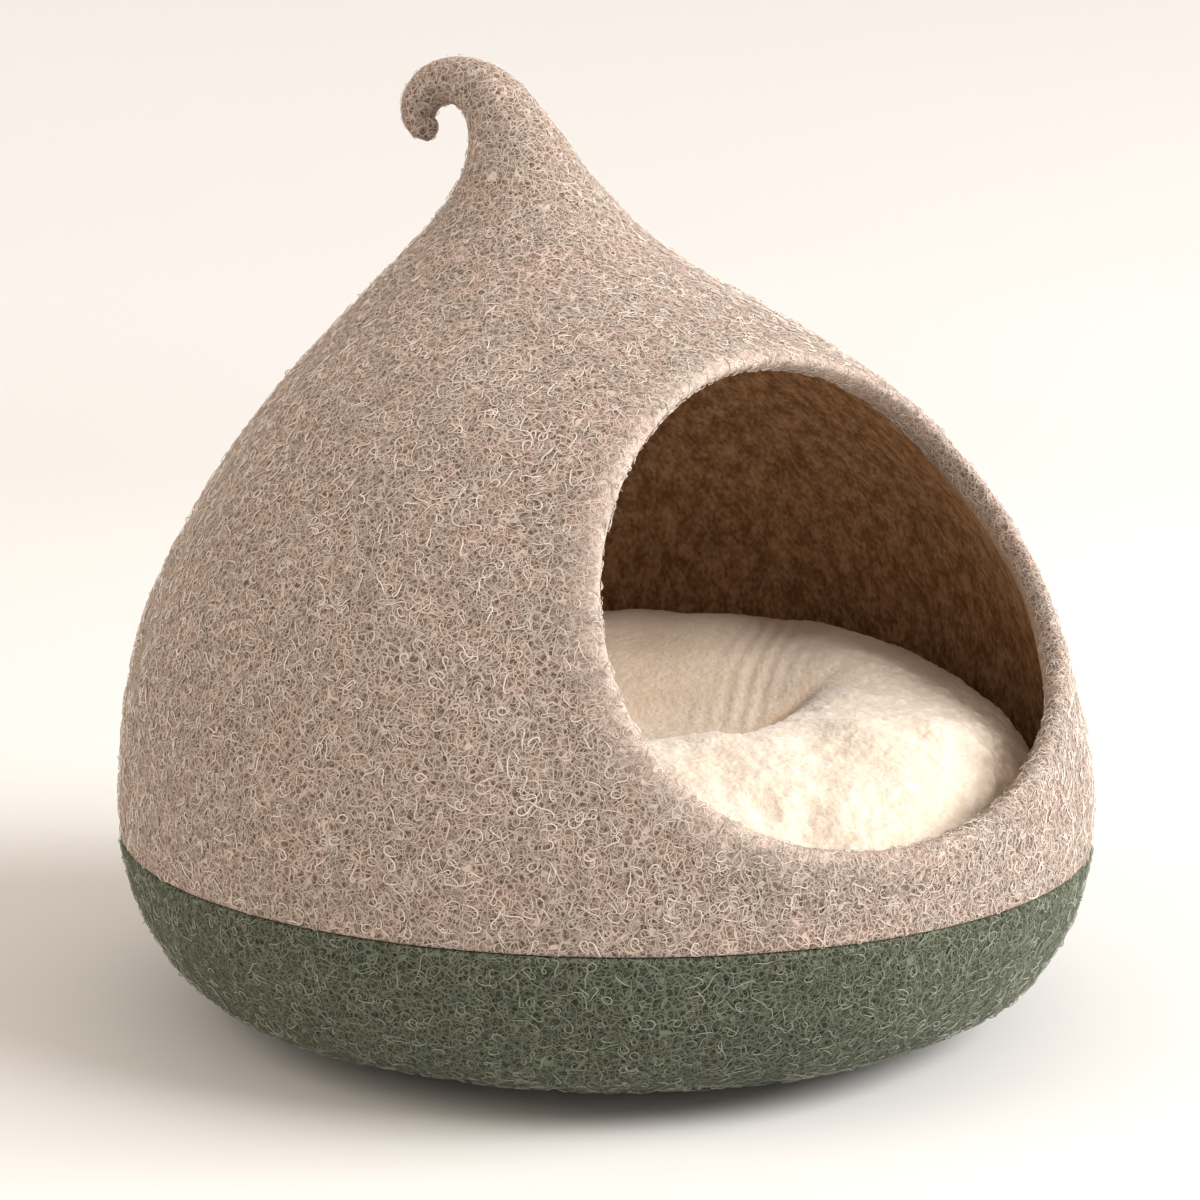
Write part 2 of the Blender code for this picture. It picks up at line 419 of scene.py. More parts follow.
# Inner side, closed where the solid tip begins
inner_run = inner_side(even_run(DOME_SECTIONS[:14], INNER_RING_STEP))
inner_run = inner_run[:int(np.argmax(inner_run[:, 1] > CAVITY_TOP))]
inner_run[0, 1] = SEAM_HEIGHT + GAP
inner_points, inner_facing = section_points(inner_run, INNER_SIDES)
rise = unevenness(inner_points, INNER_WAVES)
rise *= np.clip((inner_points[:, 2] - INNER_EVEN_BELOW) / WAVES_FADING, 0, 1)
inner_points = inner_points + inner_facing * rise[:, None]
first_inner = len(dome_points)
points, faces, inner_cut = cut_door(
    inner_points, ring_faces(len(inner_run), INNER_SIDES, True), LIP_INNER, first_inner)
dome_points += points
dome_faces += faces
dome_faces.append([first_inner + (len(inner_run) - 1) * INNER_SIDES + k for k in range(INNER_SIDES)])


def loop_in_order(cut):
    """The numbers of a cut's points in order round the entrance, and the angle of each one."""
    x, y, _ = door_place([dome_points[v] for v in cut])
    angles = np.arctan2(y, x)
    order = np.argsort(angles)
    return [cut[o] for o in order], angles[order]


# The rounded lip, a strip that leaves each side of the felt smoothly and turns over the edge
outer_loop, outer_at = loop_in_order(outer_cut)
inner_loop, inner_at = loop_in_order(inner_cut)
start = np.array([dome_points[v] for v in outer_loop])
inner_path = np.array([dome_points[v] for v in inner_loop])
wrapped = np.concatenate([inner_at - 2 * math.pi, inner_at, inner_at + 2 * math.pi])
end = np.column_stack([np.interp(outer_at, wrapped, np.tile(inner_path[:, axis], 3)) for axis in range(3)])
inwards = -(np.cos(outer_at)[:, None] * np.array(door_across)
            + np.sin(outer_at)[:, None] * np.array(door_rise))
nearest = [int(np.argmin(np.sum(np.square(outer_points - p), axis=1))) for p in start]
facing = outer_facing[nearest]
leaving = inwards - facing * np.sum(inwards * facing, axis=1)[:, None]
leaving /= np.linalg.norm(leaving, axis=1)[:, None]
previous = outer_loop
count = len(outer_loop)
first_lip = len(dome_points)
for step in range(1, LIP_STEPS):
    t = step / LIP_STEPS
    line = (start * (1 - t) ** 3 + 3 * (start + leaving * LIP_OUTER * LIP_FULLNESS) * t * (1 - t) ** 2
            + 3 * (end + leaving * LIP_INNER * LIP_FULLNESS) * t * t * (1 - t) + end * t ** 3)
    loop = list(range(len(dome_points), len(dome_points) + count))
    dome_points += [tuple(p) for p in line]
    dome_faces += [(previous[k], loop[k], loop[(k + 1) % count], previous[(k + 1) % count])
                   for k in range(count)]
    previous = loop
dome_faces += zip_loops(previous, outer_at, inner_loop, inner_at)
dome_faces += zip_loops(
    [first_inner + k for k in range(INNER_SIDES)], 2 * np.pi * np.arange(INNER_SIDES) / INNER_SIDES,
    list(range(DOME_SIDES)), 2 * np.pi * np.arange(DOME_SIDES) / DOME_SIDES)

# How the felt changes from place to place: fibres lie over the outer side and half of the lip,
# shorter ones on the thin curled tip and the lip, and the inside is painted darker and warmer,
# for the shade in the cave. At its upper right the lip shows outer felt further in, so the painted
# shade starts further in there.
LIP_TURNS = 0.50                   # share of the way over the lip where the inside's look begins
LIP_BLEND = 0.28                   # share of the way that the change takes
LIP_REACH_IN = 0.022               # how far the lip's own look reaches on the inside
LIP_REACH_OUT = 0.012              # and on the outside
OUTER_REACH_IN = 0.009             # how far outer felt shows inside, at the upper right
LIP_MORE_FIBRES = 0.9
LIP_SHORTER_FIBRES = 0.3
SHORTER_ABOVE = 0.30               # fibres get shorter above this height, over SHORTER_WITHIN
SHORTER_WITHIN = 0.12
FELT_FUZZ = 0.45                   # share of the loose hairs on the felt at large
LIP_FUZZ = 16
numbers = np.arange(len(dome_points))
place = np.array(dome_points)
heights = place[:, 2]
on_lip = numbers >= first_lip
inside = ((numbers >= first_inner) & ~on_lip).astype(float)
over_lip = (numbers - first_lip) // count / LIP_STEPS
reach = np.abs(door_distance(place, 0))
across, rising, _ = door_place(place)
across = across / DOOR_HALF_WIDTH
rising = rising / DOOR_HALF_HEIGHT
upper_right = np.clip(np.clip(across, 0, 1) * np.clip(rising, 0, 1) * 2, 0, 1)
inside -= inside * upper_right * np.clip(1.7 - reach / OUTER_REACH_IN, 0, 0.9)
# Painted shade: across the inner half of the lip the felt turns to the inside's shaded colour.
turned = np.clip((over_lip - LIP_TURNS - 0.5 * upper_right) / LIP_BLEND, 0, 1)
inside = np.where(on_lip, turned, inside)
lip = np.where(inside > 0.5, 0.8 * np.exp(-reach / LIP_REACH_IN), np.clip(1.3 - reach / LIP_REACH_OUT, 0, 1))
bare = (inside > 0.4) | (heights < SEAM_HEIGHT + 0.002)
cover = np.where(bare, 0.0, 1 + LIP_MORE_FIBRES * lip)
pale = lip * np.clip(0.55 + 0.45 * (rising - across), 0.1, 1.0)
fineness = np.clip(1.15 - (heights - SHORTER_ABOVE) / SHORTER_WITHIN, 0.5, 1.0)
fineness *= 1 - LIP_SHORTER_FIBRES * lip
bare = (inside > 0.75) | (heights < SEAM_HEIGHT + 0.003)
fuzz = np.where(bare, 0.0, FELT_FUZZ + LIP_FUZZ * np.clip(lip - 0.7, 0, 1))
dome = mesh_piece("dome_felt", dome_points, dome_faces, {
    "cover": cover, "fuzz": fuzz, "fineness": fineness, "lip": pale, "inside": inside})


# The layers of a felt's tangle of strands: seed, scale, how far they are bent, width and weight
WOOL_NET = (
    (3.0, 190.0, 0.0054, 0.050, 1.0),
    (11.0, 270.0, 0.0040, 0.054, 0.9),
    (23.0, 430.0, 0.0026, 0.060, 0.6),
)
PATCH_SCALE = 60.0                 # of the soft patches of hue
GRAIN_SCALE = 420.0
WOOL_DEPTH = 0.0007                # of the fine relief of the outer face
INSIDE_BROAD_SCALE = 130.0         # of the blotches on the inner face
INSIDE_FINE_SCALE = 460.0
INSIDE_DEPTH = 0.0012


def maths(tree, operation, *values):
    """A sum or another operation on values. Each is a number or another node's socket."""
    return add_node(tree, "ShaderNodeMath", dict(enumerate(values)), operation=operation).outputs[0]


def vector_maths(tree, operation, one, two):
    """A sum or another operation on two vectors, or for SCALE on a vector and a number."""
    second = "Scale" if operation == "SCALE" else 1
    return add_node(tree, "ShaderNodeVectorMath", {0: one, second: two}, operation=operation).outputs[0]


def cloudy(tree, where, scale, detail):
    """A soft cloudy pattern."""
    return add_node(tree, "ShaderNodeTexNoise", {
        "Vector": where, "Scale": scale, "Detail": detail}).outputs["Fac"]


def mark(tree, name):
    """The number that a mesh carries at each point under a name."""
    return add_node(tree, "ShaderNodeAttribute", attribute_name=name).outputs["Fac"]


def add_bump(tree, shader, height, distance, strength):
    """Gives a material a fine relief."""
    bump = add_node(tree, "ShaderNodeBump", {"Height": height, "Distance": distance, "Strength": strength})
    tree.links.new(bump.outputs["Normal"], shader.inputs["Normal"])


def wool_material(name, gap, strand, dark, within, patch_one, patch_two, sheen=0.25):
    """Felt: a fine tangle of pale curly strands over darker gaps, with soft patches of hue. It is
    paler on the lip, and where the lip turns to the inside it takes the colour within, which is
    painted shade."""
    made, tree, shader = new_material(name, 0.95, 0.12, sheen)
    shader.inputs["Sheen Tint"].default_value = (*strand, 1)
    where = add_node(tree, "ShaderNodeTexCoord").outputs["Object"]
    coarse = strands = None
    for seed, scale, bend, width, weight in WOOL_NET:
        moved = vector_maths(tree, "ADD", where, (seed, seed * 0.7, -seed))
        swirl = add_node(tree, "ShaderNodeTexNoise", {"Vector": moved, "Scale": scale * 0.62, "Detail": 1.0})
        centred = vector_maths(tree, "SUBTRACT", swirl.outputs["Color"], (0.5, 0.5, 0.5))
        bent = vector_maths(tree, "ADD", moved, vector_maths(tree, "SCALE", centred, bend))
        cells = add_node(tree, "ShaderNodeTexVoronoi", {
            "Vector": bent, "Scale": scale}, feature="DISTANCE_TO_EDGE").outputs["Distance"]
        line = ranged(tree, cells, width, width * 0.45, "SMOOTHSTEP", weight)
        coarse = coarse or line
        strands = line if strands is None else maths(tree, "MAXIMUM", strands, line)
    patches = cloudy(tree, where, PATCH_SCALE, 3.0)
    grain = cloudy(tree, where, GRAIN_SCALE, 2.0)
    tint = mixed(tree, ranged(tree, patches, 0.38, 0.62), patch_one, patch_two)
    ground = mixed(tree, ranged(tree, grain, 0.36, 0.62), dark, gap)
    wool = mixed(tree, strands, ground, strand)
    tinted = mixed(tree, 1.0, wool, tint, "MULTIPLY")
    lip_colour = [min(1, 1.3 * c) for c in strand]
    paler = mixed(tree, maths(tree, "MULTIPLY", mark(tree, "lip"), 0.5), tinted, lip_colour)
    shown = mixed(tree, mark(tree, "inside"), paler, within)
    tree.links.new(shown, shader.inputs["Base Color"])
    add_bump(tree, shader, maths(tree, "MULTIPLY_ADD", coarse, 0.7, grain), WOOL_DEPTH, 0.8)
    return made


def inside_material(name, dark, light, by_lip):
    """The unbrushed inner face of the felt: soft blotches, drawn out a little up the wall, and
    another colour by the lip. Its dark warm browns are painted shade for the inside of the cave,
    darker and warmer than the taupe felt itself."""
    made, tree, shader = new_material(name, 1.0, 0.05)
    where = add_node(tree, "ShaderNodeTexCoord").outputs["Object"]
    drawn = add_node(tree, "ShaderNodeMapping", {"Vector": where, "Scale": (1.0, 1.0, 0.6)}).outputs[0]
    broad = cloudy(tree, drawn, INSIDE_BROAD_SCALE, 4.0)
    fine = cloudy(tree, drawn, INSIDE_FINE_SCALE, 3.0)
    both = maths(tree, "ADD", broad, fine)
    colour = mixed(tree, ranged(tree, both, 0.80, 1.24), dark, light)
    shown = mixed(tree, mark(tree, "lip"), colour, by_lip)
    tree.links.new(shown, shader.inputs["Base Color"])
    add_bump(tree, shader, both, INSIDE_DEPTH, 0.8)
    return made


TAUPE_STRAND = (0.48, 0.393, 0.342)
# Painted shade: the inside's colours are darker and warmer than the taupe felt, for the shade in the cave.
INSIDE_DARK = (0.27, 0.150, 0.073)
INSIDE_LIGHT = (0.63, 0.400, 0.230)
INSIDE_BY_LIP = (0.52, 0.395, 0.30)
# The colour (0.38, 0.27, 0.19) is painted shade, taken where the lip turns inwards.
dome.data.materials.append(wool_material(
    "taupe_wool", (0.235, 0.174, 0.141), TAUPE_STRAND, (0.085, 0.062, 0.049), (0.38, 0.27, 0.19),
    (1.03, 0.985, 0.97), (0.95, 0.975, 0.965)))
dome.data.materials.append(inside_material(
    "taupe_wool_inside", INSIDE_DARK, INSIDE_LIGHT, INSIDE_BY_LIP))
# Faces wholly inside take the inner material, with its unbrushed look and painted shade.
inside = np.empty(len(dome.data.vertices))
dome.data.attributes["inside"].data.foreach_get("value", inside)
unbrushed = [int(inside[list(face.vertices)].min() > 0.99) for face in dome.data.polygons]
dome.data.polygons.foreach_set("material_index", unbrushed)
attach(dome, "root")
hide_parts("felt_dome")

# Green bowl --------------------------------------------------------------------------------
# The bowl is the same felt in green, 10 mm thick and flat underneath. The dome's lower edge is
# felted to its rim along a narrow crevice.
BOWL_SECTIONS = (
    (0, 0.0000, 0.1300, 0), (0, 0.0085, 0.1645, 0), (0, 0.0220, 0.1945, 0), (0, 0.0410, 0.2090, 0),
    (0, 0.0620, 0.2180, 0), (0, 0.0820, 0.2218, 0),
)
BOWL_SIDES = 256
BOWL_RING_STEP = 0.0040
BOWL_INNER_SIDES = 96
BOWL_INNER_RING_STEP = 0.0090
# The bowl's highest rings: the share of the crevice they turn in by, and how far down they lie
BOWL_EDGE = ((0.0, 0.0030), (0.12, 0.0016), (0.5, 0.0007), (1.15, 0.0002))
BOWL_WAVES = ((0.060, 0.0014, 6.1), (0.024, 0.0007, 1.7))

bowl_run = even_run(BOWL_SECTIONS, BOWL_RING_STEP)
bowl_run = np.vstack([bowl_run] + [bowl_run[-1:]] * (len(BOWL_EDGE) - 1))
for row, (share, drop) in enumerate(BOWL_EDGE, len(bowl_run) - len(BOWL_EDGE)):
    bowl_run[row, 1] -= drop
    bowl_run[row, 2] -= share * CREVICE
bowl_outer, bowl_facing = section_points(bowl_run, BOWL_SIDES)
rise = unevenness(bowl_outer, BOWL_WAVES)
rise *= (np.clip(bowl_outer[:, 2] / WAVES_FADING, 0, 1)
         * np.clip((SEAM_HEIGHT - bowl_outer[:, 2]) / WAVES_FADING, 0, 1))
bowl_outer = bowl_outer + bowl_facing * rise[:, None]
bowl_inner_run = inner_side(even_run(BOWL_SECTIONS, BOWL_INNER_RING_STEP))
bowl_inner_run[0, 1] = WALL
bowl_inner_run[-1, 1] = SEAM_HEIGHT - 0.0002
bowl_inner, _ = section_points(bowl_inner_run, BOWL_INNER_SIDES)
first_inner = len(bowl_outer)
top_outer = (len(bowl_run) - 1) * BOWL_SIDES
top_inner = first_inner + (len(bowl_inner_run) - 1) * BOWL_INNER_SIDES
bowl_faces = [tuple(f) for f in ring_faces(len(bowl_run), BOWL_SIDES)]
bowl_faces += [tuple(f + first_inner) for f in ring_faces(len(bowl_inner_run), BOWL_INNER_SIDES, True)]
bowl_faces += zip_loops(
    list(range(top_outer, top_outer + BOWL_SIDES)), 2 * np.pi * np.arange(BOWL_SIDES) / BOWL_SIDES,
    list(range(top_inner, top_inner + BOWL_INNER_SIDES)),
    2 * np.pi * np.arange(BOWL_INNER_SIDES) / BOWL_INNER_SIDES)
bowl_faces.append(tuple(reversed(range(BOWL_SIDES))))
bowl_faces.append(tuple(range(first_inner, first_inner + BOWL_INNER_SIDES)))
bowl_points = np.vstack([bowl_outer, bowl_inner])
cover = np.zeros(len(bowl_points))
cover[:first_inner] = (bowl_outer[:, 2] > 0.009) & (bowl_outer[:, 2] < SEAM_HEIGHT - 0.001)
nothing = np.zeros(len(bowl_points))
bowl = mesh_piece("bowl_felt", bowl_points, bowl_faces, {
    "cover": cover, "fuzz": cover, "fineness": nothing + 1, "lip": nothing, "inside": nothing})
GREEN_STRAND = (0.142, 0.152, 0.112)
bowl.data.materials.append(wool_material(
    "green_wool", (0.045, 0.051, 0.036), GREEN_STRAND, (0.016, 0.019, 0.013), (0.06, 0.06, 0.04),
    (1.02, 1.0, 0.97), (0.96, 1.0, 0.97), 0.4))
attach(bowl, "root")
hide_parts("felt_base")

# Curly fibres ------------------------------------------------------------------------------
# Loose wool fibres lie curled all over the felt and soften its outline. A few kinds of curly
# strand are scattered over the felt and laid down on its surface.
LYING_KINDS = 14
STANDING_KINDS = 6
STRAND_STEPS = 9
STRAND_WIDTH = 0.00046
STRAND_HEIGHT = 0.00026
STRAND_LENGTH = 0.010              # of the shortest kind, and the next seven are longer by a step each
STRAND_LENGTH_STEP = 0.0005
STRAND_TURN = (130, 400)           # least and most degrees that a lying strand curls round
STRAND_WAVE = (25, 60)             # least and most degrees that it waves
STRAND_LIFT = (0.0002, 0.0009)     # least and most height of its middle
STRAND_SIZE = (0.75, 1.2)          # least and most size of a strand, against its kind
# The number of strands per square metre of felt, where its mark is 1
DOME_FIBRES = 14800                # in each of three pieces
DOME_FUZZ = 3000
BOWL_FIBRES = 34000
BOWL_FUZZ = 2500


def strand_kind(name, seed, length, lying):
    """One curly strand: a thin ridged ribbon that lies on the surface, or a loop that stands up."""
    rng = np.random.default_rng(seed)
    at = np.linspace(0, 1, STRAND_STEPS + 1)
    if lying:
        turn = rng.choice((-1, 1)) * rng.uniform(*STRAND_TURN)
        wave = rng.uniform(0.7, 1.5)
        curve = turn * at + rng.uniform(*STRAND_WAVE) * np.sin(2 * math.pi * (wave * at + rng.random()))
        curve = np.radians(curve)
        heading = np.column_stack([np.cos(curve), np.sin(curve), np.zeros_like(at)])
        steps = (heading[1:] + heading[:-1]) / 2 * length / STRAND_STEPS
        path = np.vstack([[0, 0, 0], np.cumsum(steps, axis=0)])
        path -= path.mean(axis=0)
        path[:, 2] = rng.uniform(*STRAND_LIFT) * np.sin(math.pi * at) ** 0.7 - 0.00005
    else:
        bow = rng.uniform(0.5, 1.0)
        path = np.column_stack([
            (at - 0.5) * length * 0.30 + 0.0004 * np.sin(5 * at + seed), 0.0006 * np.sin(4 * at + 2 * seed),
            length * 0.19 * bow * np.sin(math.pi * at) - 0.0003])
    ahead = np.gradient(path, axis=0)
    ahead /= np.linalg.norm(ahead, axis=1)[:, None]
    up = np.array((0, 0, 1.0)) if lying else np.array((0, 1.0, 0))
    sides = np.cross(ahead, up)
    sides /= np.linalg.norm(sides, axis=1)[:, None]
    taper = 0.35 + 0.65 * np.minimum(1, 4 * np.minimum(at, 1 - at))
    half = (STRAND_WIDTH if lying else 0.75 * STRAND_WIDTH) / 2 * taper[:, None]
    ridge = (STRAND_HEIGHT if lying else 0.5 * STRAND_WIDTH) * taper[:, None]
    rows = np.stack([path - sides * half, path + up * ridge, path + sides * half], axis=1)
    vertices = rows.reshape(-1, 3)
    faces = []
    for j in range(STRAND_STEPS):
        a = 3 * j
        faces += [(a, a + 1, a + 4, a + 3), (a + 1, a + 2, a + 5, a + 4)]
        if not lying:
            faces.append((a + 2, a, a + 3, a + 5))
    mesh = bpy.data.meshes.new(name)
    mesh.from_pydata([tuple(v) for v in vertices], [], faces)
    mesh.attributes.new("lift", "FLOAT", "POINT").data.foreach_set("value", vertices[:, 2])
    mesh.shade_smooth()
    return bpy.data.objects.new(name, mesh)


lying_strands = bpy.data.collections.new("lying_strands")
standing_strands = bpy.data.collections.new("standing_strands")
for collection, lying in ((lying_strands, True), (standing_strands, False)):
    bpy.context.scene.collection.children.link(collection)
    for kind in range(LYING_KINDS if lying else STANDING_KINDS):
        length = STRAND_LENGTH + STRAND_LENGTH_STEP * (kind % 8)
        collection.objects.link(strand_kind(f"{collection.name}_{kind}", 40 + kind, length, lying))


def stored(tree, name):
    """The number that a geometry carries at each point under a name."""
    return add_node(tree, "GeometryNodeInputNamedAttribute", {"Name": name}, data_type="FLOAT").outputs[0]


def random_value(tree, seed, low, high, data_type):
    """A random number or vector for each item, between low and high."""
    first, output = (0, 0) if data_type == "FLOAT_VECTOR" else (2, 1)
    return add_node(tree, "FunctionNodeRandomValue", {
        first: low, first + 1: high, "Seed": seed}, data_type=data_type).outputs[output]


def strand_tree():
    """Nodes that scatter strands over a felt by one of its marks. The lying ones are then laid on
    the felt, each point of a strand as far above it as its lift."""
    tree = bpy.data.node_groups.new("scatter_strands", "GeometryNodeTree")
    for name, kind in (("Felt", "NodeSocketGeometry"), ("Density", "NodeSocketFloat"),
                       ("Seed", "NodeSocketInt"), ("Strands", "NodeSocketCollection"),
                       ("Where", "NodeSocketString"), ("Laid", "NodeSocketFloat"),
                       ("Wool", "NodeSocketMaterial")):
        tree.interface.new_socket(name, in_out="INPUT", socket_type=kind)
    tree.interface.new_socket("Strands", in_out="OUTPUT", socket_type="NodeSocketGeometry")
    given = add_node(tree, "NodeGroupInput").outputs
    density = maths(tree, "MULTIPLY", stored(tree, given["Where"]), given["Density"])
    scattered = add_node(tree, "GeometryNodeDistributePointsOnFaces", {
        "Mesh": given["Felt"], "Density": density, "Seed": given["Seed"]})
    spin = random_value(tree, given["Seed"], (0.0, 0.0, 0.0), (0.0, 0.0, 6.2832), "FLOAT_VECTOR")
    turned = add_node(tree, "FunctionNodeRotateRotation", {
        "Rotation": scattered.outputs["Rotation"],
        "Rotate By": add_node(tree, "FunctionNodeEulerToRotation", {"Euler": spin}).outputs[0]},
        rotation_space="LOCAL").outputs[0]
    size = random_value(tree, given["Seed"], *STRAND_SIZE, "FLOAT")
    scale = maths(tree, "MULTIPLY", size, stored(tree, "fineness"))
    kinds = add_node(tree, "GeometryNodeCollectionInfo", {
        "Collection": given["Strands"], "Separate Children": True, "Reset Children": True}).outputs[0]
    placed = add_node(tree, "GeometryNodeInstanceOnPoints", {
        "Points": scattered.outputs["Points"], "Instance": kinds, "Pick Instance": True,
        "Rotation": turned, "Scale": scale}).outputs[0]
    shade = random_value(tree, 5, 0.0, 1.0, "FLOAT")
    shaded = add_node(tree, "GeometryNodeStoreNamedAttribute", {
        "Geometry": placed, "Name": "shade", "Value": shade}, data_type="FLOAT", domain="INSTANCE").outputs[0]
    real = add_node(tree, "GeometryNodeRealizeInstances", {"Geometry": shaded}).outputs[0]
    here = add_node(tree, "GeometryNodeInputPosition").outputs[0]
    nearest = add_node(tree, "GeometryNodeProximity", {0: given["Felt"]}, target_element="FACES").outputs[0]
    normal = add_node(tree, "GeometryNodeSampleNearestSurface", {
        "Mesh": given["Felt"], "Value": add_node(tree, "GeometryNodeInputNormal").outputs[0]},
        data_type="FLOAT_VECTOR").outputs[0]
    raised = vector_maths(tree, "SCALE", normal, stored(tree, "lift"))
    laid = vector_maths(tree, "ADD", nearest, raised)
    where = add_node(tree, "ShaderNodeMix", {
        0: given["Laid"], 4: here, 5: laid}, data_type="VECTOR").outputs[1]
    moved = add_node(tree, "GeometryNodeSetPosition", {"Geometry": real, "Position": where}).outputs[0]
    made = add_node(tree, "GeometryNodeSetMaterial", {
        "Geometry": moved, "Material": given["Wool"]}).outputs[0]
    tree.links.new(made, add_node(tree, "NodeGroupOutput").inputs[0])
    return tree


def strand_material(name, dark, pale, patch_one, patch_two):
    """Wool fibres, each with a shade of its own."""
    made, tree, shader = new_material(name, 0.9, 0.2, 0.2)
    where = add_node(tree, "ShaderNodeTexCoord").outputs["Object"]
    warmth = mixed(tree, cloudy(tree, where, PATCH_SCALE, 3.0), patch_one, patch_two)
    colour = mixed(tree, mark(tree, "shade"), dark, pale)
    tinted = mixed(tree, 1.0, colour, warmth, "MULTIPLY")
    tree.links.new(tinted, shader.inputs["Base Color"])
    return made


scatter = strand_tree()
taupe_strands = strand_material(
    "taupe_strands", (0.29, 0.24, 0.205), (0.68, 0.59, 0.53), (1.03, 0.985, 0.965), (0.95, 0.975, 0.965))
green_strands = strand_material(
    "green_strands", (0.070, 0.078, 0.057), (0.27, 0.285, 0.23), (1.0, 1.0, 0.97), (0.96, 1.0, 0.98))


def scattered_piece(name, felt, strands, wool, density, seed):
    """Runs the scattering nodes on a felt and keeps the strands as a plain mesh of their own."""
    host = bpy.data.objects.new(name + "_host", felt.data)
    bpy.context.scene.collection.objects.link(host)
    modifier = host.modifiers.new("strands", "NODES")
    modifier.node_group = scatter
    sockets = {item.name: item.identifier for item in scatter.interface.items_tree if item.in_out == "INPUT"}
    laid = strands is lying_strands
    for label, value in (("Density", density), ("Seed", seed), ("Strands", strands),
                         ("Where", "cover" if laid else "fuzz"), ("Laid", float(laid)), ("Wool", wool)):
        modifier[sockets[label]] = value
    graph = bpy.context.evaluated_depsgraph_get()
    mesh = bpy.data.meshes.new_from_object(host.evaluated_get(graph))
    bpy.data.objects.remove(host, do_unlink=True)
    mesh.name = name
    mesh.materials.clear()
    mesh.materials.append(wool)
    piece = bpy.data.objects.new(name, mesh)
    bpy.context.scene.collection.objects.link(piece)
    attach(piece, "root")


for number in (1, 2, 3):
    scattered_piece(
        f"dome_fibres_{number}", dome, lying_strands, taupe_strands, DOME_FIBRES, 20 + number)
scattered_piece("dome_fuzz", dome, standing_strands, taupe_strands, DOME_FUZZ, 61)
scattered_piece("bowl_fibres", bowl, lying_strands, green_strands, BOWL_FIBRES, 31)
scattered_piece("bowl_fuzz", bowl, standing_strands, green_strands, BOWL_FUZZ, 62)
for collection in (lying_strands, standing_strands):
    for kind in list(collection.objects):
        bpy.data.objects.remove(kind, do_unlink=True)
    bpy.data.collections.remove(collection)

# Cushion -----------------------------------------------------------------------------------
# A round pad in a cover of short cream fleece, loose in the cave and filled until its cover bulges.
# A hollow and a tucked crease show where a cat has lain, and small soft nubs cover it.
CUSHION_SECTIONS = (
    (0, 0.0103, 0.1180, 0), (0, 0.0175, 0.1500, 0), (0, 0.0345, 0.1790, 0), (0, 0.0560, 0.1960, 0),
    (0, 0.0850, 0.2020, 0), (0, 0.1100, 0.2000, 0), (0, 0.1310, 0.1890, 0), (0, 0.1450, 0.1660, 0),
    (0, 0.1510, 0.1320, 0), (0, 0.1500, 0.0920, 0), (0, 0.1470, 0.0560, 0), (0, 0.1450, 0.0240, 0),
)
CUSHION_RING_STEP = 0.006
CUSHION_SIDES = 96
VOXEL = 0.0050
PRESSURE = 4.0
SWELLING_STEPS = 14                # frames that the cloth simulation runs for
MOST_SWELLING = 0.022

cushion_run = even_run(CUSHION_SECTIONS, CUSHION_RING_STEP)
cushion_points, _ = section_points(cushion_run, CUSHION_SIDES)
cushion_faces = [tuple(f) for f in ring_faces(len(cushion_run), CUSHION_SIDES)]
cushion_faces.append(tuple(reversed(range(CUSHION_SIDES))))
cushion_faces.append(tuple(range(len(cushion_points) - CUSHION_SIDES, len(cushion_points))))
cushion = mesh_piece("cushion_fleece", cushion_points, cushion_faces)


def apply_modifiers(piece):
    """Puts the result of a piece's modifiers in its mesh."""
    graph = bpy.context.evaluated_depsgraph_get()
    mesh = bpy.data.meshes.new_from_object(piece.evaluated_get(graph))
    piece.modifiers.clear()
    piece.data = mesh


remesh = cushion.modifiers.new("remesh", "REMESH")
remesh.mode = "VOXEL"
remesh.voxel_size = VOXEL
apply_modifiers(cushion)
at_rest = np.array([v.co for v in cushion.data.vertices])
cloth = cushion.modifiers.new("cloth", "CLOTH")
cloth.settings.use_pressure = True
cloth.settings.uniform_pressure_force = PRESSURE
cloth.settings.effector_weights.gravity = 0
cloth.settings.quality = 4
for number in range(1, SWELLING_STEPS + 1):
    bpy.context.scene.frame_set(number)
blown_up = cushion.evaluated_get(bpy.context.evaluated_depsgraph_get())
swollen = np.array([v.co for v in blown_up.data.vertices])
cushion.modifiers.clear()
bpy.context.scene.frame_set(1)
movement = swollen - at_rest
far = np.linalg.norm(movement, axis=1)
movement *= (np.minimum(far, MOST_SWELLING) / np.maximum(far, 1e-9))[:, None]
cushion.data.vertices.foreach_set("co", (at_rest + movement).ravel())
finer = cushion.modifiers.new("finer", "SUBSURF")
finer.levels = 1
finer.render_levels = 1
apply_modifiers(cushion)

# The crease and the hollow, seen from the camera's side: along runs to its right, and back away
# from it
CREASE_BACK = -0.066
CREASE_SLOPE = 0.28                # how fast the crease runs back to the right
CREASE_BEND = 0.85                 # and how much faster past CREASE_BEND_AT
CREASE_BEND_AT = 0.060
CREASE_RIGHT = 0.082               # where the crease has half died away, and over what length
CREASE_RIGHT_FADING = 0.013
CREASE_LEFT = 0.085
CREASE_LEFT_FADING = 0.02
FRONT_DROP = 0.0145                # the front of the cushion lies lower than its back
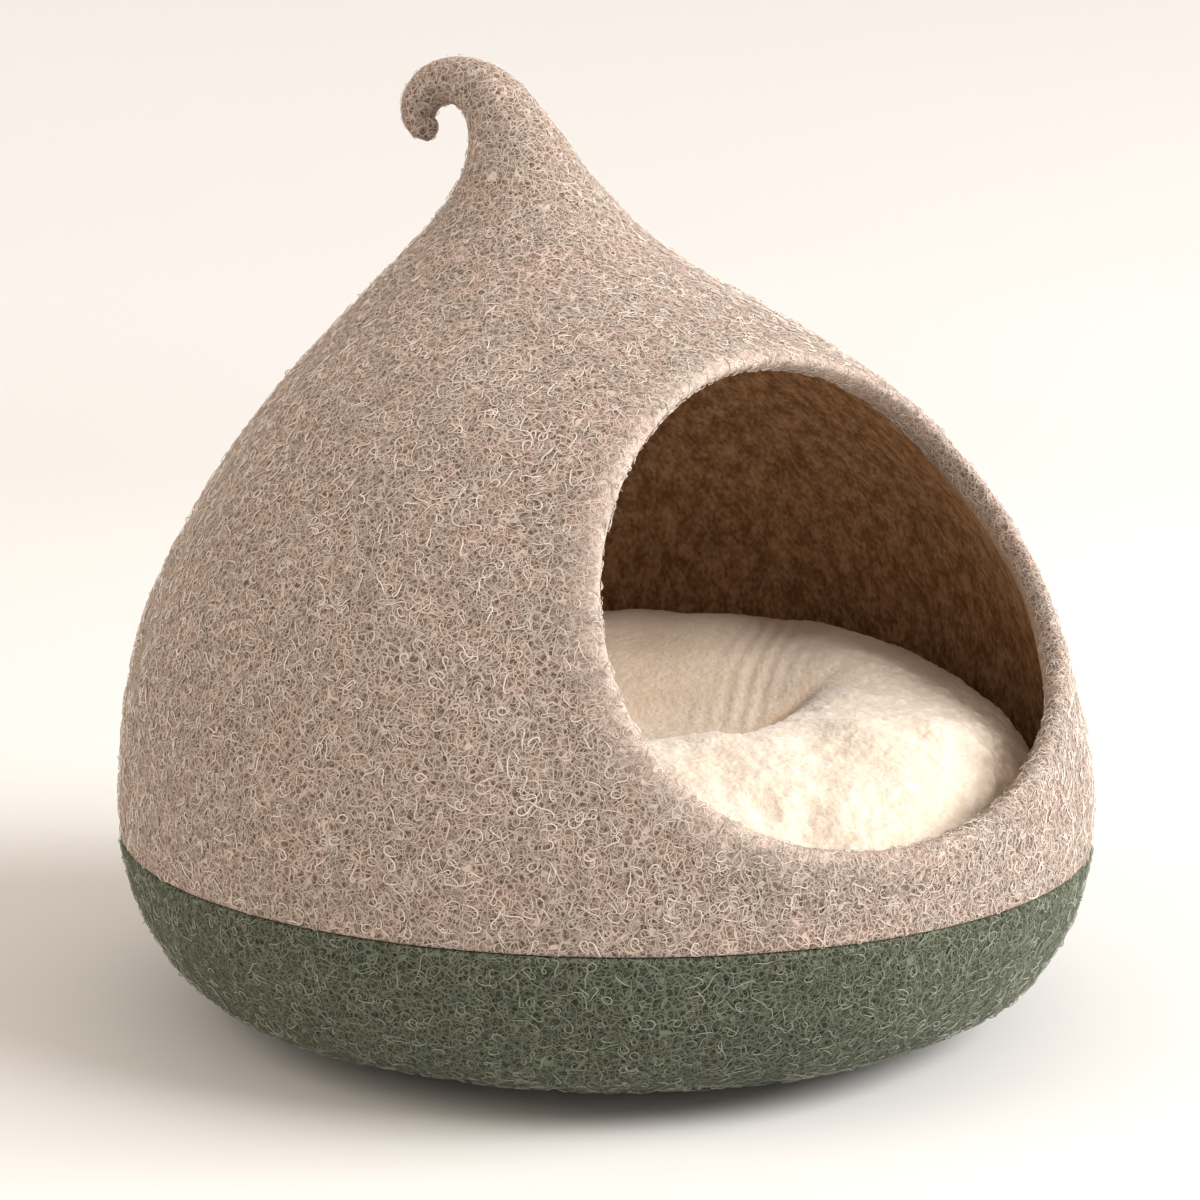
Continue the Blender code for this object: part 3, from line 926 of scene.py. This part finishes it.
# The depth, place along, place back and size of two more low parts
LOW_PARTS = ((0.007, 0.115, 0.090, 0.075), (0.010, 0.150, -0.090, 0.045))
HOLLOW_DEPTH = 0.030
HOLLOW_BACK = 0.078                # how far the hollow reaches behind the crease, and in front
HOLLOW_FRONT = 0.028
TUCK_DEPTH = 0.006
TUCK_WIDTH = 0.007
FOLD_HEIGHT = 0.0009               # of the faint folds at the right
FOLD_SPACING = 0.0078
FOLD_RIGHT = 0.972                 # the direction from one fold to the next
FOLD_BACK = 0.236
FOLDS_AT = 0.063
NUB_SPACING = 0.0070
NUB_HEIGHT = 0.0012
SOFT_SIZE = 0.03                   # of the broad soft unevenness
SOFT_HEIGHT = 0.0020
count = len(cushion.data.vertices)
place = np.empty(count * 3)
cushion.data.vertices.foreach_get("co", place)
place = place.reshape(-1, 3)
facing = np.empty(count * 3)
cushion.data.vertices.foreach_get("normal", facing)
facing = facing.reshape(-1, 3)
turn = -CAMERA_AZIMUTH
along = place[:, 0] * math.cos(turn) - place[:, 1] * math.sin(turn)
back = place[:, 0] * math.sin(turn) + place[:, 1] * math.cos(turn)
on_top = np.clip((facing[:, 2] - 0.2) / 0.5, 0, 1)
crease = (CREASE_BACK + CREASE_SLOPE * np.clip(along, 0, 1)
          + CREASE_BEND * np.clip(along - CREASE_BEND_AT, 0, 1))
behind = back - crease
fading = 1 / (1 + np.exp((along - CREASE_RIGHT) / CREASE_RIGHT_FADING))
fading /= 1 + np.exp((-along - CREASE_LEFT) / CREASE_LEFT_FADING)
front = FRONT_DROP * np.clip((0.02 - back) / 0.07, 0, 1) * np.clip((0.17 - along) / 0.08, 0, 1)
for depth, there_along, there_back, size in LOW_PARTS:
    apart = np.square(along - there_along) + np.square(back - there_back)
    front -= depth * np.exp(-apart / size ** 2)
hollow = HOLLOW_DEPTH * np.where(
    behind > 0, np.exp(-np.square(behind / HOLLOW_BACK)), np.exp(-np.square(behind / HOLLOW_FRONT)))
tuck = TUCK_DEPTH * np.exp(-np.square(behind / TUCK_WIDTH))
over_folds = FOLD_RIGHT * along - FOLD_BACK * back - FOLDS_AT
on_folds = FOLD_BACK * along + FOLD_RIGHT * back
folds = FOLD_HEIGHT * np.cos(over_folds / FOLD_SPACING * 2 * math.pi + 0.8 * np.sin(on_folds / 0.014))
folds *= (np.exp(-np.square(over_folds / 0.016)) * np.clip((on_folds + 0.03) / 0.02, 0, 1)
          * np.clip((0.13 - on_folds) / 0.05, 0, 1))
place[:, 2] -= on_top * (front + (hollow + tuck) * fading + folds)
nubs = np.empty(count)
soft = np.empty(count)
for number, point in enumerate(place):
    spot = Vector(point)
    near = noise.voronoi(spot / NUB_SPACING + noise.noise_vector(spot / 0.006) * 0.35)[0]
    nubs[number] = max(0.0, min(1.0, (near[1] - near[0]) * 2.0))
    soft[number] = noise.noise(spot / SOFT_SIZE)
brushed = (0.30 + 0.70 * np.clip(0.5 - behind / 0.04, 0, 1)) * (0.35 + 0.65 * on_top)
place += facing * (NUB_HEIGHT * (nubs - 0.6) * brushed + SOFT_HEIGHT * soft)[:, None]

# Kept clear of the felt all round
SIDE_CLEARANCE = 0.0022
FOOT_CLEARANCE = 0.0006
bowl_hollow = inner_side(even_run(BOWL_SECTIONS, 0.002))
clear_height = np.concatenate([bowl_hollow[:, 1], inner_run[:, 1]])
clear_radius = np.concatenate([bowl_hollow[:, 2], inner_run[:, 2] - inner_run[:, 0]])
order = np.argsort(clear_height)
limit = np.interp(place[:, 2], clear_height[order], clear_radius[order]) - SIDE_CLEARANCE
radius = np.hypot(place[:, 0], place[:, 1])
place[:, :2] *= np.minimum(1, limit / np.maximum(radius, 1e-6))[:, None]
place[:, 2] = np.maximum(place[:, 2], WALL + FOOT_CLEARANCE)
cushion.data.vertices.foreach_set("co", place.ravel())
cushion.data.attributes.new("nub", "FLOAT", "POINT").data.foreach_set("value", nubs)
# Painted shade: tan along the crease and over the back slope of the hollow, where shade falls on the fleece.
in_crease = fading * np.exp(-np.square(behind / 0.010))
in_hollow = 0.32 * np.clip(behind / 0.05, 0, 1) * np.clip((0.16 - along) / 0.14, 0, 1)
tucked = np.clip(in_crease + in_hollow, 0, 1) * on_top
cushion.data.attributes.new("tucked", "FLOAT", "POINT").data.foreach_set("value", tucked)
cushion.data.update()
cushion.data.shade_smooth()

# Painted shade: the dark fleece colour goes between the nubs, the pale one on them.
FLEECE_DARK = (0.62, 0.515, 0.41)
FLEECE_PALE = (0.70, 0.605, 0.51)
# Painted shade: a tan for the crease and the back of the hollow.
FLEECE_CREASE_SHADE = (0.58, 0.41, 0.25)
FLUFF_SCALE = 520.0
CURL_SCALE = 300.0
FLEECE_DEPTH = 0.0009
fleece, tree, shader = new_material("cream_fleece", 0.95, 0.1, 0.35)
shader.inputs["Subsurface Weight"].default_value = 0.15
shader.inputs["Subsurface Radius"].default_value = (0.006, 0.004, 0.003)
where = add_node(tree, "ShaderNodeTexCoord").outputs["Object"]
fluff = cloudy(tree, where, FLUFF_SCALE, 3.0)
curls = add_node(tree, "ShaderNodeTexVoronoi", {
    "Vector": where, "Scale": CURL_SCALE}, feature="F1").outputs["Distance"]
# Painted shade: darker between the nubs by their mark. The cloudy fluff is a random tone of its own.
crest = maths(tree, "MULTIPLY_ADD", mark(tree, "nub"), 0.6, fluff)
colour = mixed(tree, ranged(tree, crest, 0.45, 0.95), FLEECE_DARK, FLEECE_PALE)
# Painted shade of the crease and the back of the hollow.
with_crease_shade = mixed(tree, mark(tree, "tucked"), colour, FLEECE_CREASE_SHADE)
tree.links.new(with_crease_shade, shader.inputs["Base Color"])
add_bump(tree, shader, maths(tree, "MULTIPLY_ADD", curls, -0.6, fluff), FLEECE_DEPTH, 0.6)
cushion.data.materials.clear()
cushion.data.materials.append(fleece)
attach(cushion, "root")
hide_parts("cushion")
